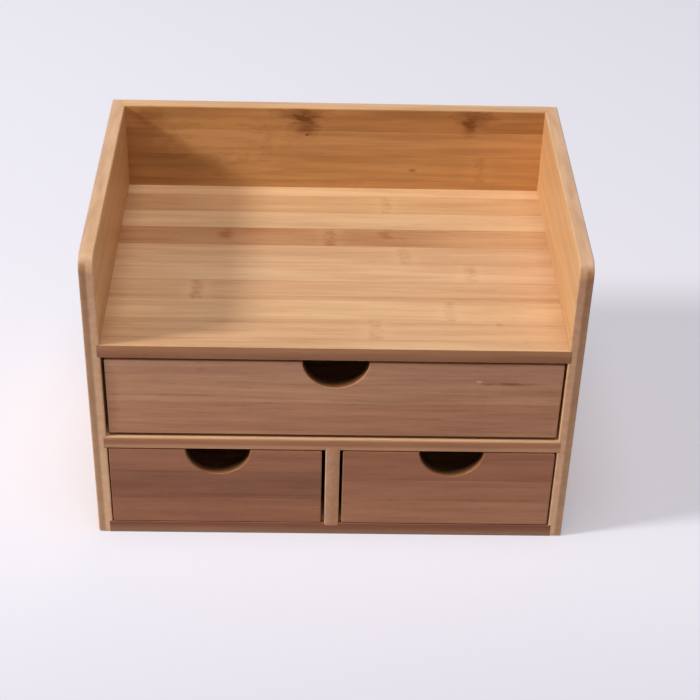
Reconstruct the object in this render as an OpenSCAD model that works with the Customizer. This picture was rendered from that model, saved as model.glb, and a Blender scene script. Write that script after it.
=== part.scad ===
// Desktop mini drawers of laminated bamboo: a case with a walled tray on top,
// one wide drawer under the tray and two narrow drawers under that.
// Millimetres. X runs across the case, the front faces -Y, Z is up.
// The origin is on the surface the case stands on, under its centre.

/* [Case] */
// Width of the case over its two sides
case_w = 330; // [260:5:420]
// Depth of the case from its front edges to its back
case_d = 220; // [170:5:300]
// Thickness of every board of the case
board_t = 10; // [8:0.5:14]
// Clear height of the two lower drawer bays
lower_bay_h = 66.5; // [60:0.5:90]
// Clear height of the upper drawer bay
upper_bay_h = 66.5; // [60:0.5:90]
// Height of the sides and the back above the tray's floor
tray_h = 67; // [30:1:110]
// Radius of each side's top corner at the front
corner_r = 11; // [4:1:25]
// Depth of the grooves that hold the boards' ends
housing_d = 2; // [1:0.5:4]
// Radius of the eased edges of the boards
ease_r = 1.2; // [0.4:0.2:2]

/* [Upper drawer] */
// Gap at the left end of its front
upper_left_gap = 2; // [0.5:0.1:4]
// Gap at the right end of its front
upper_right_gap = 1.6; // [0.5:0.1:4]
// Gap between its front and the board over it
upper_top_gap = 2.2; // [0.5:0.1:5]
// Height of its front's lower edge above the drawer's running edges
upper_lift = 2; // [0:0.1:4]
// Depth that its front stands back from the case's front edges
upper_recess = 1.2; // [0:0.2:8]
// Radius of the round cut-out in its front
upper_pull_r = 22.4; // [12:0.2:30]
// Distance of the cut-out's middle to the right of the front's middle
upper_pull_x = 0.6; // [-10:0.2:10]

/* [Lower drawers] */
// Gap at the left end of the left drawer's front
left_outer_gap = 0.8; // [0.5:0.1:4]
// Gap at the right end of the left drawer's front
left_inner_gap = 2.4; // [0.5:0.1:4]
// Gap at the left end of the right drawer's front
right_inner_gap = 2.1; // [0.5:0.1:4]
// Gap at the right end of the right drawer's front
right_outer_gap = 1.1; // [0.5:0.1:4]
// Gap between a front and the board over it
lower_top_gap = 0.8; // [0.5:0.1:5]
// Height of a front's lower edge above the drawer's running edges
lower_lift = 0; // [0:0.1:4]
// Depth that the fronts stand back from the case's front edges
lower_recess = 0; // [0:0.2:8]
// Radius of the round cut-out in each front
lower_pull_r = 22.4; // [12:0.2:30]
// Distance of each cut-out's middle to the right of its front's middle
lower_pull_x = 1.6; // [-10:0.2:10]

/* [All drawers] */
// Clearance between a drawer's running edges and the board under it
slide_gap = 0.3; // [0.2:0.1:0.8]
// Gap left behind a closed drawer
closing_gap = 0.5; // [0.3:0.1:4]
// Height of a cut-out's centre above its front's top edge
pull_rise = 1.2; // [0:0.2:6]
// Thickness of a drawer's front
front_t = 8; // [6:0.5:14]
// Thickness of a drawer's two sides
side_t = 6; // [5:0.5:10]
// Thickness of a drawer's back
rear_t = 6; // [5:0.5:10]
// Thickness of a drawer's bottom panel
bottom_t = 3; // [2:0.5:6]
// Gap between a drawer's sides and back and the board over them
wall_gap = 4.6; // [1:0.1:12]
// Depth of the grooves that hold a drawer's bottom panel
groove_d = 3; // [2:0.5:4]
// Height of those grooves above the drawer's running edges
groove_up = 5; // [3:0.5:10]
// Clearance over the bottom panel and past its edges in the grooves
groove_fit = 0.2; // [0.1:0.1:0.4]

/* [Hidden] */
$fn = 64;
cut = 1; // how far a cutting shape runs past the face that it cuts

inner_w = case_w - 2 * board_t;
housed_w = inner_w + 2 * housing_d;
lower_bay_w = (inner_w - board_t) / 2;
front_y = -case_d / 2;
rear_y = case_d / 2 - board_t; // front face of the back panel
bay_d = rear_y - front_y;

lower_bay_z = board_t;
middle_z = lower_bay_z + lower_bay_h;
upper_bay_z = middle_z + board_t;
shelf_z = upper_bay_z + upper_bay_h;
tray_z = shelf_z + board_t;
case_h = tray_z + tray_h;

// One entry for each drawer: its bay's left side in X, the height of the bay's floor, the
// bay's width and height; the front's gaps at its left end, right end and top, its lift and
// its recess; the cut-out's radius and its distance to the right of the front's middle.
UPPER = [-inner_w / 2, upper_bay_z, inner_w, upper_bay_h,
         upper_left_gap, upper_right_gap, upper_top_gap, upper_lift, upper_recess,
         upper_pull_r, upper_pull_x];
LOWER_LEFT = [-inner_w / 2, lower_bay_z, lower_bay_w, lower_bay_h,
              left_outer_gap, left_inner_gap, lower_top_gap, lower_lift, lower_recess,
              lower_pull_r, lower_pull_x];
LOWER_RIGHT = [board_t / 2, lower_bay_z, lower_bay_w, lower_bay_h,
               right_inner_gap, right_outer_gap, lower_top_gap, lower_lift, lower_recess,
               lower_pull_r, lower_pull_x];

function bay_floor(bay) = bay[1];
function bay_top(bay) = bay[1] + bay[3];
function drawer_w(bay) = bay[2] - bay[4] - bay[5];
function drawer_x(bay) = bay[0] + bay[4] + drawer_w(bay) / 2; // the drawer's middle
function drawer_y(bay) = front_y + bay[8]; // front face of the closed drawer
function drawer_z(bay) = bay_floor(bay) + slide_gap;
function front_z(bay) = drawer_z(bay) + bay[7];
function front_h(bay) = bay_top(bay) - bay[6] - front_z(bay);
function wall_h(bay) = bay_top(bay) - wall_gap - drawer_z(bay);
function wall_y(bay) = drawer_y(bay) + front_t; // where the sides start behind the front
function wall_d(bay) = rear_y - closing_gap - wall_y(bay);
function box_w(bay) = drawer_w(bay) - 2 * side_t;
function box_d(bay) = wall_d(bay) - rear_t;
function pull_r(bay) = bay[9];
function pull_x(bay) = drawer_x(bay) + bay[10];

shelf_colour = "#DEAD84";
side_colour = "#D2A074";
back_colour = "#B4783F";
front_colour = "#9A6C52";
inner_colour = "#C89A6C";

// Rectangle w by h from the origin with some corners rounded to radius r. eased says
// which: the corner at the origin, then the others in turn, anticlockwise.
module eased_rect(w, h, r, eased) {
    spots = [[0, 0], [w, 0], [w, h], [0, h]];
    difference() {
        square([w, h]);
        for (i = [0:3])
            if (eased[i])
                translate([spots[i][0] == 0 ? -cut : w - r, spots[i][1] == 0 ? -cut : h - r])
                    square(r + cut);
    }
    for (i = [0:3])
        if (eased[i])
            translate([abs(spots[i][0] - r), abs(spots[i][1] - r)])
                circle(r);
}

// Board centred across X whose long edges run along X. eased picks the edges that are
// rounded, as eased_rect does: front lower, rear lower, rear upper, front upper.
module board_along_x(size, eased) {
    translate([-size[0] / 2, 0, 0])
        rotate([90, 0, 90])
            linear_extrude(size[0])
                eased_rect(size[1], size[2], ease_r, eased);
}

// ---- the case ----

// Side outline seen from the side: square but for the round corner at the top front.
module side_outline() {
    difference() {
        square([case_d, case_h]);
        translate([-cut, case_h - corner_r])
            square(corner_r + cut);
    }
    translate([corner_r, case_h - corner_r])
        circle(corner_r);
}

// Groove in a side's inner face for the end of a board: from z up h, from y back d.
module housing(z, h, y, d) {
    translate([board_t - housing_d, y, z])
        cube([housing_d + cut, d, h]);
}

// Left side, from its outer face at x = 0 to its inner face at x = board_t.
module side_panel() {
    difference() {
        intersection() {
            translate([0, front_y, 0])
                rotate([90, 0, 90])
                    linear_extrude(board_t)
                        side_outline();
            translate([0, front_y, 0])
                linear_extrude(case_h)
                    eased_rect(board_t, case_d, ease_r, [true, true, false, true]);
        }
        housing(-cut, board_t + cut, front_y - cut, case_d + 2 * cut);
        housing(middle_z, board_t, front_y - cut, bay_d + cut);
        housing(shelf_z, board_t, front_y - cut, bay_d + cut);
        housing(-cut, case_h + 2 * cut, rear_y, board_t + cut);
    }
}

module left_side_panel() {
    color(side_colour)
        translate([-case_w / 2, 0, 0])
            side_panel();
}

module right_side_panel() {
    color(side_colour)
        mirror([1, 0, 0])
            translate([-case_w / 2, 0, 0])
                side_panel();
}

// The back fills the rebates at the back of both sides, from the floor to their top.
module back_panel() {
    color(back_colour)
        translate([0, rear_y, 0])
            board_along_x([housed_w, board_t, case_h], [false, false, true, true]);
}

module top_shelf() {
    color(shelf_colour)
        translate([0, front_y, shelf_z])
            board_along_x([housed_w, bay_d, board_t], [true, false, false, true]);
}

// Groove for an end of the divider, cut into a board's face at height z.
module divider_housing(z) {
    translate([-board_t / 2, front_y - cut, z])
        cube([board_t, bay_d + 2 * cut, housing_d + cut]);
}

module middle_board() {
    color(shelf_colour)
        difference() {
            translate([0, front_y, middle_z])
                board_along_x([housed_w, bay_d, board_t], [true, false, false, true]);
            divider_housing(middle_z - cut);
        }
}

module bottom_board() {
    color(shelf_colour)
        difference() {
            translate([0, front_y, 0])
                board_along_x([housed_w, bay_d, board_t], [true, false, false, true]);
            divider_housing(board_t - housing_d);
        }
}

module centre_divider() {
    color(side_colour)
        translate([-board_t / 2, front_y, lower_bay_z - housing_d])
            linear_extrude(lower_bay_h + 2 * housing_d)
                eased_rect(board_t, bay_d, ease_r, [true, true, false, false]);
}

// ---- the drawers ----

// Groove all round the box for the bottom panel's edges, from depth y and d long in Y.
module panel_groove(bay, y, d) {
    w = box_w(bay) + 2 * groove_d;
    translate([drawer_x(bay) - w / 2, y, drawer_z(bay) + groove_up])
        cube([w, d, bottom_t + groove_fit]);
}

module drawer_front(bay) {
    color(front_colour)
        difference() {
            translate([drawer_x(bay), drawer_y(bay), front_z(bay)])
                board_along_x([drawer_w(bay), front_t, front_h(bay)],
                              [true, false, true, true]);
            translate([pull_x(bay), drawer_y(bay) - cut, front_z(bay) + front_h(bay) + pull_rise])
                rotate([-90, 0, 0])
                    cylinder(r = pull_r(bay), h = front_t + 2 * cut);
            panel_groove(bay, wall_y(bay) - groove_d, groove_d + cut);
        }
}

// Side of a drawer; hand is -1 for the left side and 1 for the right side.
// Its groove runs out at both ends, as a saw leaves it.
module drawer_side(bay, hand) {
    x = drawer_x(bay) + hand * (drawer_w(bay) - side_t) / 2;
    color(inner_colour)
        difference() {
            translate([x - side_t / 2, wall_y(bay), drawer_z(bay)])
                cube([side_t, wall_d(bay), wall_h(bay)]);
            panel_groove(bay, wall_y(bay) - cut, wall_d(bay) + 2 * cut);
        }
}

module drawer_back(bay) {
    color(inner_colour)
        difference() {
            translate([drawer_x(bay) - box_w(bay) / 2, wall_y(bay) + box_d(bay), drawer_z(bay)])
                cube([box_w(bay), rear_t, wall_h(bay)]);
            panel_groove(bay, wall_y(bay) + box_d(bay) - cut, groove_d + cut);
        }
}

// The bottom panel rests on the lower faces of the grooves around it.
module drawer_bottom(bay) {
    reach = groove_d - groove_fit;
    color(inner_colour)
        translate([drawer_x(bay) - box_w(bay) / 2 - reach, wall_y(bay) - reach,
                   drawer_z(bay) + groove_up])
            cube([box_w(bay) + 2 * reach, box_d(bay) + 2 * reach, bottom_t]);
}

left_side_panel();
right_side_panel();
back_panel();
top_shelf();
middle_board();
bottom_board();
centre_divider();

drawer_front(UPPER);  // upper_drawer_front
drawer_side(UPPER, -1);  // upper_drawer_left_side
drawer_side(UPPER, 1);  // upper_drawer_right_side
drawer_back(UPPER);  // upper_drawer_back
drawer_bottom(UPPER);  // upper_drawer_bottom

drawer_front(LOWER_LEFT);  // lower_left_drawer_front
drawer_side(LOWER_LEFT, -1);  // lower_left_drawer_left_side
drawer_side(LOWER_LEFT, 1);  // lower_left_drawer_right_side
drawer_back(LOWER_LEFT);  // lower_left_drawer_back
drawer_bottom(LOWER_LEFT);  // lower_left_drawer_bottom

drawer_front(LOWER_RIGHT);  // lower_right_drawer_front
drawer_side(LOWER_RIGHT, -1);  // lower_right_drawer_left_side
drawer_side(LOWER_RIGHT, 1);  // lower_right_drawer_right_side
drawer_back(LOWER_RIGHT);  // lower_right_drawer_back
drawer_bottom(LOWER_RIGHT);  // lower_right_drawer_bottom
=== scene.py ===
import math

import bpy
import numpy as np
from mathutils import Matrix, Vector


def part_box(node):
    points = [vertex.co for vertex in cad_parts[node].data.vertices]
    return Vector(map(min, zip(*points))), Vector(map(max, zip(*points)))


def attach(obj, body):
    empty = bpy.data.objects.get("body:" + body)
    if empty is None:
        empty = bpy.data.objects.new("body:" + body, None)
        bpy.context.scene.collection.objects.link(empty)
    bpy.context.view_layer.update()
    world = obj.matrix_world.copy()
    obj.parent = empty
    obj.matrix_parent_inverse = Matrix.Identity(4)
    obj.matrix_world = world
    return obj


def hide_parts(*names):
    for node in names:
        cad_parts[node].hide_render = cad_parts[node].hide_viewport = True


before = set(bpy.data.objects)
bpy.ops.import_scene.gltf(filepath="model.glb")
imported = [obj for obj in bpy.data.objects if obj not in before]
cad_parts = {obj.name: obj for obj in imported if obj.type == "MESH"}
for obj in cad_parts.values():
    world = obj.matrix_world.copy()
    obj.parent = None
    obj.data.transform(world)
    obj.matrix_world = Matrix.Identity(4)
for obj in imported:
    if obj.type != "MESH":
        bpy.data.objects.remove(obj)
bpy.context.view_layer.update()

mm = 0.001
sharpBend = math.radians(40)    # faces that bend more than this meet in a sharp edge
print("frame loaded:", len(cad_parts), "nodes")


# sRGB hex to linear light: c/12.92 below 0.04045, else ((c + 0.055)/1.055)^2.4
def toLinear(hexColour):
    channels = np.array([int(hexColour[i:i + 2], 16) / 255 for i in (1, 3, 5)])
    linear = np.where(channels < 0.04045, channels / 12.92, ((channels + 0.055) / 1.055) ** 2.4)
    return (*linear, 1.0)


# one node: its inputs in order, then more by name or number, each a value, a socket, or a node
# whose first output is meant; stops fill a colour ramp, and the rest are its own settings
# (a Mix node's colours are its inputs 6 and 7, and its output 2)
def addNode(tree, kind, *inputs, named=None, stops=None, **settings):
    node = tree.nodes.new("ShaderNode" + kind)
    for key, value in settings.items():
        setattr(node, key, value)
    for key, value in [*enumerate(inputs), *(named or {}).items()]:
        if isinstance(value, bpy.types.Node):
            value = value.outputs[0]
        if isinstance(value, bpy.types.NodeSocket):
            tree.links.new(value, node.inputs[key])
        else:
            node.inputs[key].default_value = value
    if stops:
        elements = node.color_ramp.elements
        while len(elements) < len(stops):
            elements.new(0.5)
        for element, (position, colour) in zip(elements, stops):
            element.position = position
            element.color = colour
    return node


cameraLook = {
    "lens": 85.41,                        # mm
    "sensor": 36.0,                       # mm wide
    "farthest": 50.0,                     # m
    "place": (-16.95, -998.7, 799.4),     # mm
    "down": 35.64,                        # degrees below the horizon
    "turned": 1.72,                       # degrees from +Y towards +X
    "rolled": -1.76,                      # degrees about the line of sight
}


# forward = (sin a cos b, cos a cos b, -sin b), right = (cos a, -sin a, 0), up = right x forward,
# then right and up are turned about forward by the roll
def makeCamera(look):
    turned, down, rolled = [math.radians(look[key]) for key in ("turned", "down", "rolled")]
    forward = np.array([math.sin(turned) * math.cos(down),
                        math.cos(turned) * math.cos(down),
                        -math.sin(down)])
    right = np.array([math.cos(turned), -math.sin(turned), 0])
    up = np.cross(right, forward)
    right, up = (right * math.cos(rolled) - up * math.sin(rolled),
                 right * math.sin(rolled) + up * math.cos(rolled))
    data = bpy.data.cameras.new("photoCamera")
    data.lens = look["lens"]
    data.sensor_width = look["sensor"]
    data.clip_end = look["farthest"]
    camera = bpy.data.objects.new("photoCamera", data)
    turn = Matrix(np.column_stack([right, up, -forward]).tolist()).to_4x4()
    camera.matrix_world = Matrix.Translation(np.array(look["place"]) * mm) @ turn
    bpy.context.collection.objects.link(camera)
    bpy.context.scene.camera = camera


makeCamera(cameraLook)
print("camera made")


# lengths in metres
studioLook = {
    "aim": (0.0, 0.0, 0.16),              # what the lamps face
    "keyFrom": (-1.45, -0.36, 1.0),       # the way to the key lamp from the aim
    "keyDistance": 4.2,
    "keySize": 0.70,
    "keyPower": 121.0,
    "skyPlace": (0.0, -0.75, 5.0),        # wide soft box overhead, a little in front
    "skySize": 2.8,
    "skyPower": 128.0,
    "room": "#F4F2FA",                    # faint light from all round
    "roomPower": 0.16,
    "backdrop": "#E9E7F0",
    "floor": "#EEECF4",
    "floorShadedNear": "#E0DEE8",               # painted shade: a touch darker towards the camera
    "floorShadeFrom": (-0.15, -0.30),       # Y where that begins and where it is full
    "floorOwn": 0.2,                      # share of the floor's seen brightness that is its own
    "floorMelts": (0.9, 2.6),             # from where to where, going out, it becomes the backdrop
    "floorSize": 12.0,
}


# round soft lamp that faces the aim
def addLamp(name, place, aim, size, power):
    data = bpy.data.lights.new(name, "AREA")
    data.shape = "DISK"
    data.size = size
    data.energy = power
    lamp = bpy.data.objects.new(name, data)
    way = Vector(place) - Vector(aim)
    lamp.matrix_world = Matrix.Translation(place) @ way.to_track_quat("Z", "Y").to_matrix().to_4x4()
    bpy.context.collection.objects.link(lamp)


# 1 on rays that carry what is seen, straight or in a gloss or a glass, and 0 on light
def seenRays(tree):
    path = addNode(tree, "LightPath").outputs
    seen = addNode(tree, "Math", path["Is Camera Ray"], path["Is Glossy Ray"], operation="MAXIMUM")
    return addNode(tree, "Math", seen, path["Is Transmission Ray"], operation="MAXIMUM")


# pale backdrop to the eye, and a faint light from all round on the object
def makeBackdrop(look):
    world = bpy.data.worlds.new("studioWorld")
    bpy.context.scene.world = world
    world.use_nodes = True
    tree = world.node_tree
    tree.nodes.clear()
    room = addNode(tree, "Background", toLinear(look["room"]), look["roomPower"])
    pale = addNode(tree, "Background", toLinear(look["backdrop"]), 1.0)
    both = addNode(tree, "MixShader", seenRays(tree), room, pale)
    addNode(tree, "OutputWorld", both)


# matt painted board, with painted shade that makes it a touch darker towards the camera; its shadow kept
# pale by a share of brightness of its own that lights nothing else, and that grows to the whole far out,
# so that no horizon shows
def makePaint(look):
    paint = bpy.data.materials.new("painted board, matt")
    paint.use_nodes = True
    tree = paint.node_tree
    tree.nodes.clear()
    place = addNode(tree, "TexCoord").outputs["Object"]
    axis = addNode(tree, "SeparateXYZ", place).outputs
    # painted shade: the floor's tone darkens towards the camera
    near = addNode(tree, "MapRange", axis[1], *look["floorShadeFrom"], 0.0, 1.0)
    tone = addNode(tree, "Mix", near, named={6: toLinear(look["floor"]), 7: toLinear(look["floorShadedNear"])},
                   data_type="RGBA").outputs[2]
    surface = addNode(tree, "BsdfPrincipled", named={"Base Color": tone, "Roughness": 0.7,
                                                     "Specular IOR Level": 0.2})
    own = addNode(tree, "Emission", toLinear(look["backdrop"]), 1.0)
    out = addNode(tree, "VectorMath", place, operation="LENGTH").outputs["Value"]
    share = addNode(tree, "MapRange", out, *look["floorMelts"], look["floorOwn"], 1.0,
                    interpolation_type="SMOOTHSTEP")
    share = addNode(tree, "Math", seenRays(tree), share, operation="MULTIPLY")
    both = addNode(tree, "MixShader", share, surface, own)
    addNode(tree, "OutputMaterial", both)
    return paint


def makeFloor(look):
    half = look["floorSize"] / 2
    mesh = bpy.data.meshes.new("studioFloor")
    mesh.from_pydata([(-half, -half, 0), (half, -half, 0), (half, half, 0), (-half, half, 0)],
                     [], [(0, 1, 2, 3)])
    mesh.materials.append(makePaint(look))
    floor = bpy.data.objects.new("studioFloor", mesh)
    bpy.context.collection.objects.link(floor)


def makeStudio(look):
    bpy.context.scene.view_settings.view_transform = "Standard"
    aim = np.array(look["aim"])
    way = np.array(look["keyFrom"])
    addLamp("keyLamp", aim + way / np.linalg.norm(way) * look["keyDistance"], aim,
            look["keySize"], look["keyPower"])
    addLamp("skyLamp", look["skyPlace"], aim, look["skySize"], look["skyPower"])
    makeBackdrop(look)
    makeFloor(look)


makeStudio(studioLook)
print("studio made")


# an outline lies in the plane of the first two axes, and its board is carried along the third
outlineYZ = (1, 2, 0)
outlineXZ = (0, 2, 1)
outlineXY = (0, 1, 2)


# closed outline, anticlockwise: each corner (u, v, radius) is a quarter circle between its two
# straight runs, centre + radius * (-b cos t - a sin t), with a and b the ways to its neighbours
def roundedOutline(corners, steps):
    spots = np.array([corner[:2] for corner in corners], float)
    back = np.roll(spots, 1, axis=0) - spots
    ahead = np.roll(spots, -1, axis=0) - spots
    back /= np.linalg.norm(back, axis=1)[:, None]
    ahead /= np.linalg.norm(ahead, axis=1)[:, None]
    turn = np.linspace(0, math.pi / 2, steps + 1)[:, None]
    runs = []
    for spot, a, b, corner in zip(spots, back, ahead, corners):
        radius = corner[2]
        if radius == 0:
            runs.append(spot[None])
        else:
            centre = spot + radius * (a + b)
            runs.append(centre - radius * (b * np.cos(turn) + a * np.sin(turn)))
    return np.concatenate(runs)


# outline of a box, from its low corner round, with a radius for each of its four corners
def boxOutline(low, high, axes, radii, steps=6):
    u, v = axes[:2]
    corners = [(low[u], low[v]), (high[u], low[v]), (high[u], high[v]), (low[u], high[v])]
    return roundedOutline([(*corner, radius) for corner, radius in zip(corners, radii)], steps)


# outline moved inwards by a distance: p + distance * (m + n) / (1 + m.n), where m and n are
# the inward unit normals of the two runs that meet at p
def insetOutline(points, distance):
    run = np.roll(points, -1, axis=0) - points
    run /= np.linalg.norm(run, axis=1)[:, None]
    after = np.column_stack([-run[:, 1], run[:, 0]])
    before = np.roll(after, 1, axis=0)
    return points + distance * (before + after) / (1 + (before * after).sum(axis=1))[:, None]


# board: its outline carried along the third axis, as far as its box reaches; each rim is a
# quarter round of the arris: inset a(1 - sin t), height a(1 - cos t)
def boardMesh(outline, axes, low, high, arris=0.0, steps=5):
    t = np.linspace(0, math.pi / 2, steps + 1) if arris else np.array([math.pi / 2])
    insets = arris * (1 - np.sin(t))
    heights = arris * (1 - np.cos(t))
    levels = np.concatenate([low[axes[2]] + heights, high[axes[2]] - heights[::-1]])
    rings = [insetOutline(outline, inset) for inset in np.concatenate([insets, insets[::-1]])]
    count = len(outline)
    points = np.zeros((len(levels), count, 3))
    points[:, :, axes[:2]] = np.array(rings)
    points[:, :, axes[2]] = levels[:, None]

    ring = np.arange(len(levels) - 1)[:, None] * count
    here = np.arange(count)[None]
    there = (here + 1) % count
    walls = np.stack([ring + here, ring + there, ring + count + there, ring + count + here], axis=-1)
    faces = walls.reshape(-1, 4).tolist()
    faces.append(list(range(count))[::-1])
    faces.append(list(range((len(levels) - 1) * count, len(levels) * count)))
    if axes == outlineXZ:       # the one order of axes that would turn the board inside out
        faces = [face[::-1] for face in faces]
    mesh = bpy.data.meshes.new("board")
    mesh.from_pydata(points.reshape(-1, 3).tolist(), [], faces)
    return mesh


# a board's mesh less its grooves, each the plain block between two corners
def cutSlots(mesh, slots):
    work = bpy.data.objects.new("work", mesh)
    bpy.context.collection.objects.link(work)
    cutters = []
    for low, high in slots:
        block = boardMesh(boxOutline(low, high, outlineXY, [0, 0, 0, 0]), outlineXY, low, high)
        cutter = bpy.data.objects.new("slot", block)
        bpy.context.collection.objects.link(cutter)
        cut = work.modifiers.new("cut", "BOOLEAN")
        cut.operation = "DIFFERENCE"
        cut.solver = "EXACT"
        cut.object = cutter
        cutters.append(cutter)
    shaped = bpy.data.meshes.new_from_object(work.evaluated_get(bpy.context.evaluated_depsgraph_get()))
    for thing in [work] + cutters:
        bpy.data.objects.remove(thing)
    return shaped


# puts a finished mesh in the scene for its node: smooth arrises, flat faces
def placePiece(node, mesh, body, material):
    words = node.split("_")
    name = words[0] + "".join(word.capitalize() for word in words[1:])
    mesh.name = name
    mesh.shade_smooth()
    mesh.set_sharp_from_angle(angle=sharpBend)
    mesh.materials.clear()
    mesh.materials.append(material)
    piece = bpy.data.objects.new(name, mesh)
    bpy.context.collection.objects.link(piece)
    flat = piece.modifiers.new("flatFaces", "WEIGHTED_NORMAL")
    flat.keep_sharp = True
    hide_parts(node)
    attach(piece, body)


# what all the boards share: laminated bamboo, planed, sanded and thinly lacquered; a mark is a
# share of the tint, lengths are in mm, and the axes run along, across and through the board
bambooLook = {
    "pitch": 23.3,                # width of one strip
    "first": 0.0,                 # where a strip begins across the board
    "depth": (0.0, 10.0),         # the board's two faces
    "mirrored": False,            # whether depth counts from the middle to both sides alike
    "edges": [],                  # the axis that an edge faces along, 3 for all edges; its plies
    "edgeFrom": (0.65, 0.85),     # squared cosine to that axis where the plies begin, and are full
    "cutouts": [],                # along, across, radius of a round cut-out; the plies at its edge
    "fades": [],                  # across from and to, along where none and where full, strength; the wood's tone or painted shade
    "edgeFades": [],              # world axis, where none and where full, strength; only what faces Y; mostly painted shade
    "edgeMottle": 0.0,            # pale and dark blotches on the edges that run along the grain
    "outer": 0.0,                 # how much stronger all marks are on the face at the greater depth
    "outerFrom": (0.45, 0.55),    # depth where that begins, and is full, as a share of the board's
    "spots": [],                  # along, across, half length, half width, strength
    "spotTorn": 1.4,              # how much the wobble tears a spot's outline
    "spotFades": (0.9, 1.9),      # from where to where a spot fades, in its half sizes
    "knuckleSway": 8.0,           # how much the wobble sways a knuckle's outline
    "knuckleReach": 200.0,        # the farthest that a knuckle can lie from the middle
    "smudge": (1.0, 6.5, 0.36),   # from where to where a knuckle fades, off its middle; strength
    "rim": (5.0, 14.0, -0.10),    # the same for the paler wood around it
    "mottleLeast": 0.2,           # share of the smudge that is left where its mottle is weakest
    "seam": 0.20,                 # strength of the glue lines
    "seamFades": (0.12, 0.75),    # real ones are 0.1 mm wide, drawn about 0.8 mm so that they show
    "seamFaintest": 0.3,          # share of that strength in the faintest of them
    "streak": 0.15,               # strengths of the fibre streaks, the drift and the flecks
    "drift": 0.20,
    "fleck": 0.12,
    "stripShift": 60.0,           # how far the noises differ from strip to strip
    "noises": {                   # size along, across and through the board, and detail
        "streak": (55, 2.0, 2.0, 3.0),    # fibres, 0.3 mm wide, drawn about 1 mm to show
        "drift": (95, 7, 7, 2.0),         # slow drift of tone
        "fleck": (11, 0.9, 0.9, 1.0),     # short dark flecks
        "wobble": (9, 4, 9, 2.0),         # tears the outlines of spots and knuckles
        "mottle": (4.5, 3, 3, 1.0),       # breaks up the knuckles
        "blotch": (26, 6, 6, 1.0),        # blotches on edges
    },
    "grows": {                    # values of a noise where its mark begins, and is full
        "streak": (0.35, 0.68),
        "drift": (0.35, 0.65),
        "fleck": (0.60, 0.72),
        "mottle": (0.38, 0.62),
        "blotch": (0.36, 0.64),
        "gloss": (0.3, 0.7),              # of the drift
    },
    "tint": "#A9764F",            # what a full-strength mark multiplies the tone by
    "seed": 1.0,
    "roughness": 0.50,
    "roughnessVaries": 0.05,      # up and down
    "relief": 0.06,               # how high the fibres stand
    "reliefShows": 0.35,          # share of it that catches the light
    "seamDepth": 1.5,             # how deep a glue line is, in such reliefs
    "coat": 0.05,
}


# a value for each noise, stretched along the grain and different in every strip
def woodNoises(tree, look, board, strip):
    number = addNode(tree, "Math", strip, look["seed"], operation="ADD")
    chance = addNode(tree, "TexWhiteNoise", named={"W": number}, noise_dimensions="1D")
    shift = addNode(tree, "VectorMath", chance.outputs["Color"], named={"Scale": look["stripShift"]},
                    operation="SCALE")
    noises = {}
    for key, (*size, detail) in look["noises"].items():
        spread = addNode(tree, "VectorMath", board, [1 / length for length in size], shift,
                         operation="MULTIPLY_ADD")
        noises[key] = addNode(tree, "TexNoise", named={"Vector": spread, "Scale": 1.0, "Detail": detail,
                                                       "Roughness": 0.55})
    return noises


# knuckle: a smudge across its strip, where |along - place + sway (wobble - 1/2)| is small,
# broken up by small noise, with a paler rim
def knuckleMarks(tree, look, turn, along, noises):
    reach = look["knuckleReach"]
    tones, places, strengths = zip(*look["strips"])
    stops = [(k / len(tones), ((place + reach) / (2 * reach), strength, 0, 1))
             for k, (place, strength) in enumerate(zip(places, strengths))]
    knuckles = addNode(tree, "ValToRGB", turn, stops=stops)
    knuckles.color_ramp.interpolation = "CONSTANT"
    place, strength = addNode(tree, "SeparateColor", knuckles).outputs[:2]
    place = addNode(tree, "Math", place, 2 * reach, -reach, operation="MULTIPLY_ADD")
    away = addNode(tree, "Math", along, place, operation="SUBTRACT")
    away = addNode(tree, "Math", noises["wobble"], look["knuckleSway"], away, operation="MULTIPLY_ADD")
    away = addNode(tree, "Math", away, look["knuckleSway"] / 2, operation="SUBTRACT")
    away = addNode(tree, "Math", away, operation="ABSOLUTE")
    parts = [addNode(tree, "MapRange", away, fades, faded, full, 0.0, interpolation_type="SMOOTHSTEP")
             for fades, faded, full in (look["smudge"], look["rim"])]
    mottle = addNode(tree, "MapRange", noises["mottle"], *look["grows"]["mottle"],
                     look["mottleLeast"], 1.0)
    smudge = addNode(tree, "Math", parts[0], mottle, operation="MULTIPLY")
    both = addNode(tree, "Math", smudge, parts[1], operation="ADD")
    return addNode(tree, "Math", both, strength, operation="MULTIPLY")


# how far a point lies from a place on the board: the length of
# ((along - placeAlong) / halfLength, (across - placeAcross) / halfWidth)
def awayFrom(tree, board, place, halfLength=1, halfWidth=1):
    offset = addNode(tree, "VectorMath", board, (*place, 0), operation="SUBTRACT")
    offset = addNode(tree, "VectorMath", offset, (1 / halfLength, 1 / halfWidth, 0), operation="MULTIPLY")
    return addNode(tree, "VectorMath", offset, operation="LENGTH").outputs["Value"]


# single marks at their own places, with a ragged outline
def spotMarks(tree, look, board, noises, marks):
    for spotAlong, spotAcross, halfLength, halfWidth, strength in look["spots"]:
        away = awayFrom(tree, board, (spotAlong, spotAcross), halfLength, halfWidth)
        torn = addNode(tree, "Math", noises["wobble"], look["spotTorn"], away, operation="MULTIPLY_ADD")
        spot = addNode(tree, "MapRange", torn, *look["spotFades"], strength, 0.0,
                       interpolation_type="SMOOTHSTEP")
        marks = addNode(tree, "Math", marks, spot, operation="ADD")
    return marks


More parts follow.
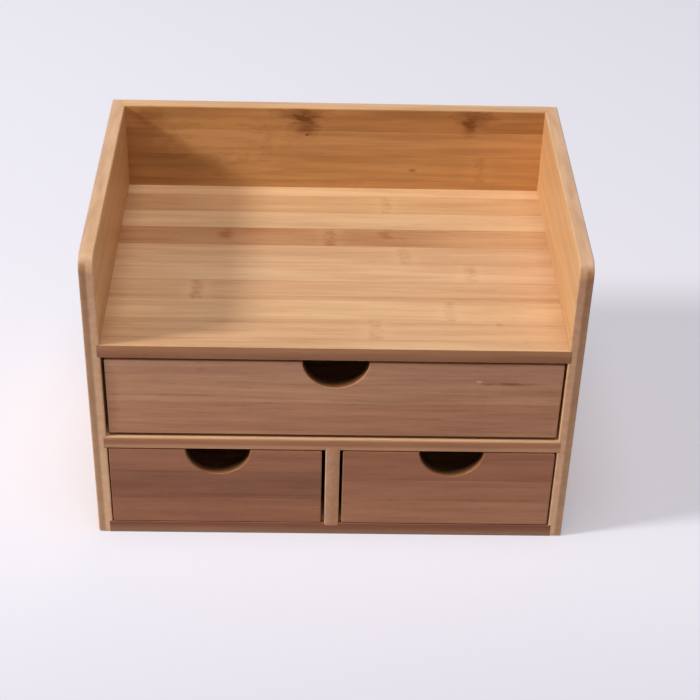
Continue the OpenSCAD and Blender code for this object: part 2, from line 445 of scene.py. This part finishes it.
# a strip or a whole board that deepens along its length, or that is deeper all along, in its own tone or
# as painted shade
def fadeMarks(tree, look, along, across, marks):
    for lowest, highest, none, full, strength in look["fades"]:
        above = addNode(tree, "Math", across, lowest, operation="GREATER_THAN")
        below = addNode(tree, "Math", across, highest, operation="LESS_THAN")
        within = addNode(tree, "Math", above, below, operation="MULTIPLY")
        deepened = addNode(tree, "MapRange", along, none, full, 0.0, strength)
        marks = addNode(tree, "Math", deepened, within, marks, operation="MULTIPLY_ADD")
    return marks


# tones of the plies through the thickness, laid over the strips' tones on the edges
def edgePlies(tree, look, board, through, facing, colour):
    cuts = [(addNode(tree, "MapRange", facing[side], *look["edgeFrom"], 0.0, 1.0), plies)
            for side, plies in look["edges"]]
    for cutAlong, cutAcross, radius, plies in look["cutouts"]:
        away = awayFrom(tree, board, (cutAlong, cutAcross))
        inside = addNode(tree, "Math", away, radius, operation="LESS_THAN")
        cuts.append((addNode(tree, "Math", cuts[0][0], inside, operation="MULTIPLY"), plies))
    for onEdge, plies in cuts:
        ply = addNode(tree, "ValToRGB", through, stops=[(place, toLinear(hue)) for place, hue in plies])
        colour = addNode(tree, "Mix", onEdge, named={6: colour, 7: ply}, data_type="RGBA").outputs[2]
    return colour


# laminated bamboo, satin lacquer: straight strips of one tone each, with fine dark fibre
# streaks along them, a smudged knuckle here and there, faint glue lines and a soft sheen
def makeBamboo(name, **changes):
    look = {**bambooLook, **changes}
    material = bpy.data.materials.new(name)
    material.use_nodes = True
    tree = material.node_tree
    tree.nodes.clear()

    # where on the board in mm, and the squared cosines between the surface's normal and the
    # three axes, with a fourth value that is full on all edges
    place = addNode(tree, "TexCoord").outputs
    axis = addNode(tree, "VectorMath", place["Object"], (1 / mm, 1 / mm, 1 / mm), operation="MULTIPLY")
    axis = addNode(tree, "SeparateXYZ", axis).outputs
    along, across, depth = [axis[i] for i in look["axes"]]
    if look["mirrored"]:
        depth = addNode(tree, "Math", depth, operation="ABSOLUTE")
    board = addNode(tree, "CombineXYZ", along, across, depth)
    squares = addNode(tree, "VectorMath", place["Normal"], place["Normal"], operation="MULTIPLY")
    facing = list(addNode(tree, "SeparateXYZ", squares).outputs)
    onFace = facing[look["axes"][2]]
    facing.append(addNode(tree, "Math", 1.0, onFace, operation="SUBTRACT"))

    # which strip, and which of the pattern's tones
    count = len(look["strips"])
    inPitches = addNode(tree, "Math", across, 1 / look["pitch"], -look["first"] / look["pitch"],
                        operation="MULTIPLY_ADD")
    strip = addNode(tree, "Math", inPitches, operation="FLOOR")
    turn = addNode(tree, "Math", strip, 1 / count, 0.5 / count, operation="MULTIPLY_ADD")
    turn = addNode(tree, "Math", turn, operation="FRACT")
    stops = [(k / count, toLinear(entry[0])) for k, entry in enumerate(look["strips"])]
    tone = addNode(tree, "ValToRGB", turn, stops=stops)
    tone.color_ramp.interpolation = "CONSTANT"

    # shade is how much of the tint shows: fibres, drift and flecks all over, marks on the faces
    noises = woodNoises(tree, look, board, strip)
    shade = 0.0
    for key in ("streak", "drift", "fleck"):
        grown = addNode(tree, "MapRange", noises[key], *look["grows"][key], 0.0, 1.0)
        shade = addNode(tree, "Math", grown, look[key], shade, operation="MULTIPLY_ADD")

    marks = knuckleMarks(tree, look, turn, along, noises)
    marks = spotMarks(tree, look, board, noises, marks)
    marks = fadeMarks(tree, look, along, across, marks)

    # glue lines between the strips, some fainter than others
    seamLine = addNode(tree, "Math", inPitches, 0.5, operation="PINGPONG")
    seamLine = addNode(tree, "MapRange", seamLine, *[width / look["pitch"] for width in look["seamFades"]],
                       1.0, 0.0, interpolation_type="SMOOTHSTEP")
    seam = addNode(tree, "Math", inPitches, operation="ROUND")
    seam = addNode(tree, "TexWhiteNoise", named={"W": seam}, noise_dimensions="1D")
    seam = addNode(tree, "MapRange", seam, 0.0, 1.0, look["seamFaintest"], 1.0)
    seam = addNode(tree, "Math", seam, seamLine, operation="MULTIPLY")
    marks = addNode(tree, "Math", seam, look["seam"], marks, operation="MULTIPLY_ADD")
    shade = addNode(tree, "Math", marks, onFace, shade, operation="MULTIPLY_ADD")

    # what shows on the edges and on an outer face alone
    for side, none, full, strength in look["edgeFades"]:
        deepened = addNode(tree, "MapRange", axis[side], none, full, 0.0, strength)
        shade = addNode(tree, "Math", deepened, facing[1], shade, operation="MULTIPLY_ADD")
    if look["edgeMottle"]:
        blotch = addNode(tree, "MapRange", noises["blotch"], *look["grows"]["blotch"],
                         -look["edgeMottle"], look["edgeMottle"])
        shade = addNode(tree, "Math", blotch, facing[look["axes"][1]], shade, operation="MULTIPLY_ADD")
    through = addNode(tree, "MapRange", depth, *look["depth"], 0.0, 1.0)
    if look["outer"]:
        stronger = addNode(tree, "MapRange", through, *look["outerFrom"], 0.0, look["outer"])
        stronger = addNode(tree, "Math", stronger, onFace, operation="MULTIPLY")
        shade = addNode(tree, "Math", shade, stronger, shade, operation="MULTIPLY_ADD")

    colour = edgePlies(tree, look, board, through, facing, tone)
    colour = addNode(tree, "Mix", shade, named={6: colour, 7: toLinear(look["tint"])},
                     data_type="RGBA", blend_type="MULTIPLY").outputs[2]

    # lacquer: a sheen that varies slowly, over fibres and glue lines about 0.1 mm deep
    gloss = addNode(tree, "MapRange", noises["drift"], *look["grows"]["gloss"],
                    look["roughness"] - look["roughnessVaries"],
                    look["roughness"] + look["roughnessVaries"])
    height = addNode(tree, "Math", seamLine, -look["seamDepth"], noises["streak"],
                     operation="MULTIPLY_ADD")
    bump = addNode(tree, "Bump", named={"Height": height, "Strength": look["reliefShows"],
                                        "Distance": look["relief"] * mm})
    surface = addNode(tree, "BsdfPrincipled", named={
        "Base Color": colour, "Roughness": gloss, "Normal": bump, "IOR": 1.5,
        "Specular IOR Level": 0.4, "Coat Weight": look["coat"], "Coat Roughness": 0.3})
    addNode(tree, "OutputMaterial", surface)
    return material


alongX = (0, 1, 2)      # grain along X, strips side by side in Y, plies stacked in Z
uprightX = (0, 2, 1)    # grain along X on a standing board
uprightY = (1, 2, 0)    # grain along Y on a standing board

# each strip: its tone, the place of its knuckle along it, and the knuckle's strength
shelfBamboo = makeBamboo(
    "laminated bamboo, satin lacquer, shelf", axes=alongX, first=-99.8, depth=(153, 163), strips=[
        ("#DEB183", 27, 0.5), ("#E0B485", 78, 0.5), ("#DBAD80", -95, 1.0), ("#E0B58A", 96, 0.6),
        ("#DAAD82", 50, 0.6), ("#D5A475", -3, 0.8), ("#DFB68A", -190, 0), ("#D8AB7C", 39, 0.7),
        ("#E5BC8D", -190, 0), ("#DDB183", -190, 0)],
    edges=[(1, [(0.05, "#98623B"), (0.2, "#996640"), (0.45, "#A36C41"), (0.7, "#B37B4B"),
                (0.88, "#B57C4C")])],
    # painted shade: the front edge darkens towards the right, away from the key lamp
    edgeFades=[(0, -100, 140, 0.14)], streak=0.12, seam=0.26,
    # the first three fades are the wood's own tone; the fourth is painted shade that deepens the left
    # side's shadow near the back; the last two darken the front strips towards the left
    fades=[(16.7, 40, 108, 50, 0.34), (-51.3, -48.0, -250, -200, 0.14), (-82, -79, -250, -200, 0.07),
           (63.3, 86.6, -82, -118, 0.24), (-99.8, -76.5, 60, -20, 0.09), (-110, -99.8, 30, -20, 0.14)],
    spots=[(-79, 30, 7, 8, 0.30), (37, 33, 6, 8, 0.20), (111, -80, 4, 3, 0.15)])
middleBamboo = makeBamboo(
    "laminated bamboo, satin lacquer, middle board", axes=alongX, first=-99.8, depth=(76.5, 86.5),
    strips=[("#D8AB7C", 60, 0.3), ("#DBAD80", -80, 0.4), ("#E0B588", 20, 0.4)], seed=5.0,
    # plies of the front edge; the pale top one is also a painted highlight along the lit arris
    edges=[(1, [(0.02, "#C49166"), (0.25, "#C49064"), (0.45, "#AE7549"), (0.7, "#AE7549"),
                (0.82, "#BE8658"), (0.9, "#E7B082")])],
    # painted shade: the front edge darkens towards the right
    edgeFades=[(0, -100, 140, 0.10)])
bottomBamboo = makeBamboo(
    "laminated bamboo, satin lacquer, bottom board", axes=alongX, first=-99.8, depth=(0, 10),
    strips=[("#D8AB7C", 60, 0.3), ("#DBAD80", -80, 0.4), ("#E0B588", 20, 0.4)], seed=9.0,
    # painted shade: the plies of the front edge darken towards the top, under the lower drawer fronts
    edges=[(1, [(0.05, "#9D7C62"), (0.3, "#9D724E"), (0.52, "#955F3A"), (0.7, "#8B532F"),
                (0.82, "#894A24"), (0.95, "#874C27")])],
    # painted shadow: a dark line along the front of the top face, in the gap under the drawer fronts;
    # painted shade: the front edge darkens towards the right
    fades=[(-112, -106, -250, -200, 0.8)], edgeFades=[(0, -100, 140, 0.25)])
sideBamboo = makeBamboo(
    "laminated bamboo, satin lacquer, sides", axes=uprightY, mirrored=True, first=12.0,
    depth=(155, 165), strips=[("#DEAE79", 40, 0.15), ("#E1B27C", -30, 0.2), ("#DCAB76", 70, 0.12),
                              ("#DFB07A", 190, 0)],
    edges=[(1, [(0.0, "#E5B78C"), (0.44, "#E3B487"), (0.6, "#B78B60"), (0.78, "#B88D63"),
                (1.0, "#CBA079")]),
           (2, [(0.0, "#D6A97E"), (0.5, "#D8AC84"), (0.8, "#D2AB88"), (1.0, "#CAA88E")])],
    # on the front edges: darker towards the top, and painted shade that darkens them towards the right
    edgeFades=[(2, 40, 210, 0.22), (0, -150, 150, 0.15)], edgeFrom=(0.2, 0.5), edgeMottle=0.11,
    seam=0.06, drift=0.16, streak=0.06, fleck=0.04, outer=0.8)
dividerBamboo = makeBamboo(
    "laminated bamboo, satin lacquer, divider", axes=uprightY, first=12.0, depth=(-5, 5),
    strips=[("#DDAE7C", 40, 0.0), ("#E0B280", 190, 0)], seed=3.0,
    edges=[(1, [(0.0, "#C69C7A"), (0.2, "#C49576"), (0.4, "#C38F64"), (0.7, "#B98458"),
                (1.0, "#BA8862")])])
backBamboo = makeBamboo(
    "laminated bamboo, satin lacquer, back", axes=uprightX, pitch=21.0, first=1.5, depth=(100, 110),
    strips=[("#D79B5B", 190, 0.0), ("#DCA567", -120, 0.2), ("#DCA567", 20, 0.2), ("#DCA567", 110, 0.5),
            ("#DEA568", -50, 0.35)],
    edges=[(2, [(0.0, "#DDAE7C"), (1.0, "#DDB084")])],
    # the first fade darkens the top strip towards the right; the next three are painted shade, darkening
    # the lower strips towards the left and deepening the left side's shadow there; the last two darken
    # hidden strips towards the left
    fades=[(211.5, 235, -50, 60, 0.22), (163, 211.5, 150, -60, 0.10), (190.5, 211.5, -118, -150, 0.22),
           (163, 190.5, -70, -125, 0.20), (0, 22.5, 150, 0, 0.25), (106.5, 127.5, 150, 0, 0.25)],
    # the first two spots are painted light on the lit part beside the shadow; the others are dark knuckle
    # smudges and dots
    spots=[(-84, 204, 50, 18, -0.30), (-68, 178, 34, 10, -0.20), (-26, 226, 24, 8, 0.46),
           (-22, 217, 12, 12, 0.52), (104, 224, 18, 10, 0.34), (100, 217, 7, 10, 0.34),
           (-137, 221, 14, 10, 0.30), (-21, 208, 1.6, 1.2, 0.9), (59, 179, 4, 1.8, 0.5)],
    tint="#96784C", seam=0.12, fleck=0.06, streak=0.09, drift=0.28)
print("case materials made")


# mm
caseLook = {
    "sideArris": 1.1,
    "cornerRadius": 11.0,         # a side's round top corner at the front
    "cornerSteps": 10,
    "tipRadius": 1.6,             # its other three corners
    "boardArris": {"top_shelf": 0.5, "middle_board": 0.9, "bottom_board": 0.3, "back_panel": 1.2,
                   "centre_divider": 1.2},
    "slotPast": 2.0,              # how far a groove's cutter runs past the board
}


# each side has a groove for every board it holds, which runs out past the side where the board
# reaches the side's own edge
def makeSides(look):
    past = look["slotPast"] * mm
    housed = [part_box(node) for node in ("bottom_board", "middle_board", "top_shelf", "back_panel")]
    tip = look["tipRadius"] * mm
    for node in ("left_side_panel", "right_side_panel"):
        low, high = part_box(node)
        slots = []
        for boardLow, boardHigh in housed:
            bottom = low[2] - past if boardLow[2] < low[2] + mm else boardLow[2]
            top = high[2] + past if boardHigh[2] > high[2] - mm else boardHigh[2]
            front = low[1] - past if boardLow[1] < low[1] + mm else boardLow[1]
            rear = high[1] + past if boardHigh[1] > high[1] - mm else boardHigh[1]
            slots.append(((boardLow[0], front, bottom), (boardHigh[0], rear, top)))
        outline = boxOutline(low, high, outlineYZ, [tip, tip, tip, look["cornerRadius"] * mm],
                             steps=look["cornerSteps"])
        mesh = boardMesh(outline, outlineYZ, low, high, look["sideArris"] * mm)
        placePiece(node, cutSlots(mesh, slots), "case", sideBamboo)


# the boards between the sides, rounded where their edges show, and the divider that stands in
# grooves of two of them
def makeBoards(look):
    past = look["slotPast"] * mm
    dividerLow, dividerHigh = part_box("centre_divider")
    for node, slot, material, rounded in (
            ("top_shelf", "shelf_bamboo", shelfBamboo, (1, 0, 0, 1)),
            ("middle_board", "shelf_bamboo", middleBamboo, (1, 0, 0, 1)),
            ("bottom_board", "shelf_bamboo", bottomBamboo, (1, 0, 0, 1)),
            ("back_panel", "back_bamboo", backBamboo, (0, 0, 1, 1))):
        low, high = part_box(node)
        arris = look["boardArris"][node] * mm
        outline = boxOutline(low, high, outlineYZ, [arris * share for share in rounded])
        mesh = boardMesh(outline, outlineYZ, low, high)
        if node in ("middle_board", "bottom_board"):
            bottom = max(dividerLow[2], low[2] - past)
            top = min(dividerHigh[2], high[2] + past)
            mesh = cutSlots(mesh, [((dividerLow[0], low[1] - past, bottom),
                                    (dividerHigh[0], high[1] + past, top))])
        placePiece(node, mesh, "case", material)

    arris = look["boardArris"]["centre_divider"] * mm
    outline = boxOutline(dividerLow, dividerHigh, outlineXY, [arris, arris, 0, 0])
    mesh = boardMesh(outline, outlineXY, dividerLow, dividerHigh)
    placePiece("centre_divider", mesh, "case", dividerBamboo)


makeSides(caseLook)
makeBoards(caseLook)
print("case made")


# mm
drawerLook = {
    "pullRadius": 22.4,           # the round cut-outs
    "pullRise": 1.2,              # from a front's top edge up to its cut-out's centre
    # how far right of its front's middle each cut-out is
    "pullShift": {"upper_drawer": 0.6, "lower_left_drawer": 1.6, "lower_right_drawer": 1.6},
    "pullSteps": 48,
    "pullPliesPast": 0.3,         # how far past the cut-out its own plies still count
    "frontArris": 0.9,
    "frontCorner": 1.5,
    "boxArris": 0.6,
    "panelArris": 0.3,
}

# how each drawer's front differs from the shared look
frontLooks = {
    "upper_drawer": {
        "pitch": 24.0, "first": 92.5, "seed": 21.0,
        "strips": [("#C1865E", -60, 0.2), ("#C99269", 100, 0.2), ("#C48E68", -89, 0.5),
                   ("#C1865E", 0, 0.0)],
        # painted shade: the whole front darkens towards the right
        "fades": [(80, 160, -150, 150, 0.20)],
        # the first spot is painted shadow of the left side on the front's left end; the others are streaks
        # and a pale dot
        "spots": [(-150, 119, 6, 45, 0.20), (118, 134.2, 20, 1.6, 0.45), (96.8, 136.1, 2.4, 1.2, -0.7),
                  (60, 104, 30, 1.4, 0.15), (-100, 122, 24, 1.2, 0.15), (30, 118, 34, 1.2, 0.12),
                  (-60, 133, 30, 1.2, 0.14)]},
    "lower_left_drawer": {
        "pitch": 24.5, "first": 8.0, "seed": 31.0,
        "strips": [("#A16641", -60, 0.2), ("#935A37", -80, 0.2), ("#A36844", -100, 0.2)],
        "spots": [(-60, 36, 60, 1.6, 0.20), (-88, 41, 14, 1.4, -0.20)]},
    "lower_right_drawer": {
        "pitch": 19.5, "first": 11.5, "seed": 41.0,
        "strips": [("#B0764E", 60, 0.2), ("#A86D47", 80, 0.2), ("#A0653F", 40, 0.2),
                   ("#A0653F", 120, 0.0)],
        "spots": [(100, 33, 60, 1.5, 0.35), (60, 44, 20, 1.4, -0.12)]},
}
# the edges of a front, and its cut-out, whose plies are golden at the face and darken towards the inside
# as painted shade
frontPlies = [(0.0, "#B07C52"), (0.5, "#A06C42"), (1.0, "#A87548")]
shadedCutoutPlies = [(0.05, "#9E6A3E"), (0.3, "#805430"), (0.5, "#583A20"), (0.75, "#3E2612")]
wallBamboo = makeBamboo(
    "laminated bamboo, satin lacquer, drawer sides", axes=uprightY, pitch=20.0, first=4.0,
    strips=[("#E0B588", 40, 0.4), ("#DBAD80", -60, 0.4), ("#E0B588", 10, 0.3)], seed=51.0)
rearBamboo = makeBamboo(
    "laminated bamboo, satin lacquer, drawer backs", axes=uprightX, pitch=20.0, first=4.0,
    strips=[("#DBAD80", 40, 0.4), ("#E0B588", -60, 0.4), ("#E0B588", 90, 0.3)], seed=61.0)
panelBamboo = makeBamboo(
    "bamboo plywood, sealed, drawer bottoms", axes=alongX, pitch=26.0, first=-100.0,
    strips=[("#E5BC8D", -60, 0.3), ("#E0B588", 80, 0.3), ("#E5BC8D", 10, 0.3)],
    seed=71.0, roughness=0.6, coat=0.0)
print("drawer materials made")


# front: a board whose top edge has a round cut-out, middle + radius * (cos t, sin t)
def makeFront(body, look, panelLow, panelHigh):
    low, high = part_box(body + "_front")
    radius = look["pullRadius"] * mm
    middle = ((low[0] + high[0]) / 2 + look["pullShift"][body] * mm, high[2] + look["pullRise"] * mm)
    start = math.asin(look["pullRise"] / look["pullRadius"])
    turn = np.linspace(-start, start - math.pi, look["pullSteps"] + 1)
    pull = np.column_stack([middle[0] + radius * np.cos(turn), middle[1] + radius * np.sin(turn)])
    rim = boxOutline(low, high, outlineXZ, [look["frontCorner"] * mm] * 4)
    topLeft = len(rim) * 3 // 4    # where the last of its four corners begins
    outline = np.concatenate([rim[:topLeft], pull, rim[topLeft:]])
    bamboo = makeBamboo("laminated bamboo, satin lacquer, front of the " + body.replace("_", " "),
                        axes=uprightX, depth=(low[1] / mm, high[1] / mm), streak=0.14, fleck=0.16,
                        drift=0.26, seam=0.08, tint="#9C7F62", edges=[(3, frontPlies)],
                        cutouts=[(middle[0] / mm, middle[1] / mm,
                                  look["pullRadius"] + look["pullPliesPast"], shadedCutoutPlies)],
                        **frontLooks[body])
    groove = (panelLow, (panelHigh[0], high[1] + look["boxArris"] * mm, panelHigh[2]))
    mesh = boardMesh(outline, outlineXZ, low, high, look["frontArris"] * mm)
    placePiece(body + "_front", cutSlots(mesh, [groove]), body, bamboo)


# sides and back: boards with eased long edges, each with a groove for the bottom panel
def makeWalls(body, look, panelLow, panelHigh):
    edge = look["boxArris"] * mm
    for wall, axes, material in (("_left_side", outlineXZ, wallBamboo),
                                 ("_right_side", outlineXZ, wallBamboo),
                                 ("_back", outlineYZ, rearBamboo)):
        low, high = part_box(body + wall)
        mesh = boardMesh(boxOutline(low, high, axes, [edge] * 4, steps=4), axes, low, high)
        if wall == "_back":
            groove = ((low[0] - edge, low[1] - edge, panelLow[2]),
                      (high[0] + edge, panelHigh[1], panelHigh[2]))
        else:
            groove = ((panelLow[0], low[1] - edge, panelLow[2]),
                      (panelHigh[0], high[1] + edge, panelHigh[2]))
        placePiece(body + wall, cutSlots(mesh, [groove]), body, material)


def makeDrawer(body, look):
    panelLow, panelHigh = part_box(body + "_bottom")
    makeFront(body, look, panelLow, panelHigh)
    makeWalls(body, look, panelLow, panelHigh)
    edge = look["panelArris"] * mm
    outline = boxOutline(panelLow, panelHigh, outlineXY, [edge] * 4)
    mesh = boardMesh(outline, outlineXY, panelLow, panelHigh, edge, steps=2)
    placePiece(body + "_bottom", mesh, body, panelBamboo)


for body in frontLooks:
    makeDrawer(body, drawerLook)
print("drawers made")
